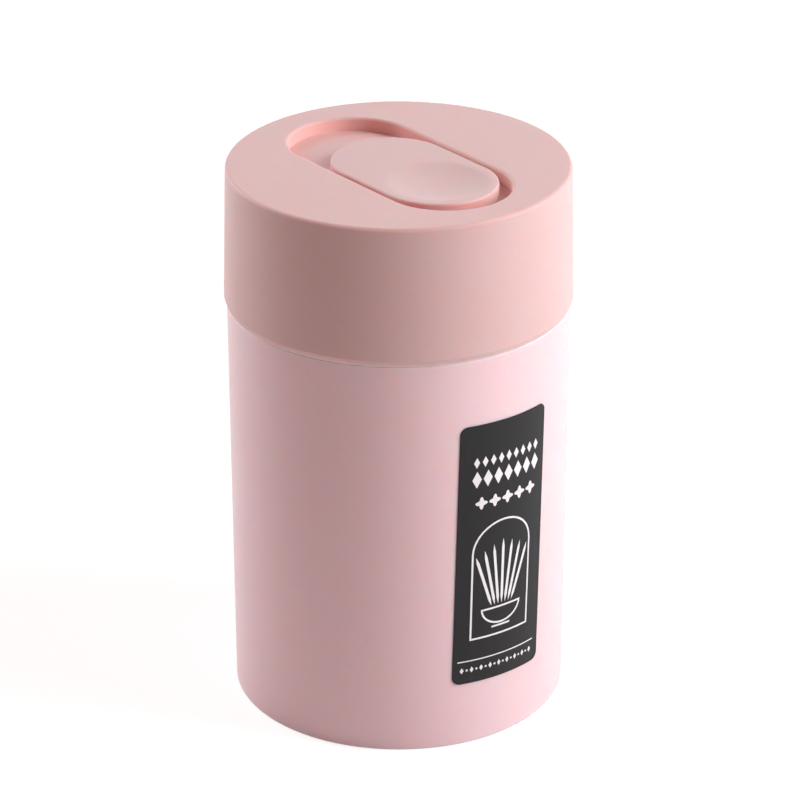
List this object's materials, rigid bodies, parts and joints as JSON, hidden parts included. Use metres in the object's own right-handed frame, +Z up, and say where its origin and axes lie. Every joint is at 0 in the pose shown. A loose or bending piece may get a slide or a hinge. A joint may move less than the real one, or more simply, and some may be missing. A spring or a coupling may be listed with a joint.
{
  "type": "toothpick dispenser",
  "caption": "Cylindrical tabletop toothpick dispenser: a cup with a push-on cap whose recessed thumb slide uncovers an outlet.",
  "frame": {"origin": "centre of the base, on the surface that the cup stands on", "axes": "+Z up along the cup's axis; -Y is the front, with the outlet and the sticker; +X is to the right seen from the front"},
  "size_m": [0.0528, 0.0528, 0.0861],
  "materials": {
    "cup_plastic": "fine satin moulded polypropylene, pale pink",
    "cap_plastic": "fine satin moulded polypropylene, dusty pink",
    "liner_plastic": "natural white polypropylene, as moulded",
    "label_vinyl": "near-black satin vinyl sticker with a plain white print"
  },
  "bodies": {
    "cup": {"cup": "cup_plastic", "label": "label_vinyl"},
    "cap": {"cap_shell": "cap_plastic", "cap_liner": "liner_plastic"},
    "slide": {"slider": "cap_plastic", "slider_keeper": "liner_plastic"}
  },
  "joints": [
    {"name": "cap_lift", "type": "slide", "parent": "cup", "child": "cap", "axis": [0, 0, 1], "range_m": [0, 0.04]},
    {"name": "slide_open", "type": "slide", "parent": "cap", "child": "slide", "axis": [0, 1, 0], "range_m": [0, 0.0095]}
  ]
}
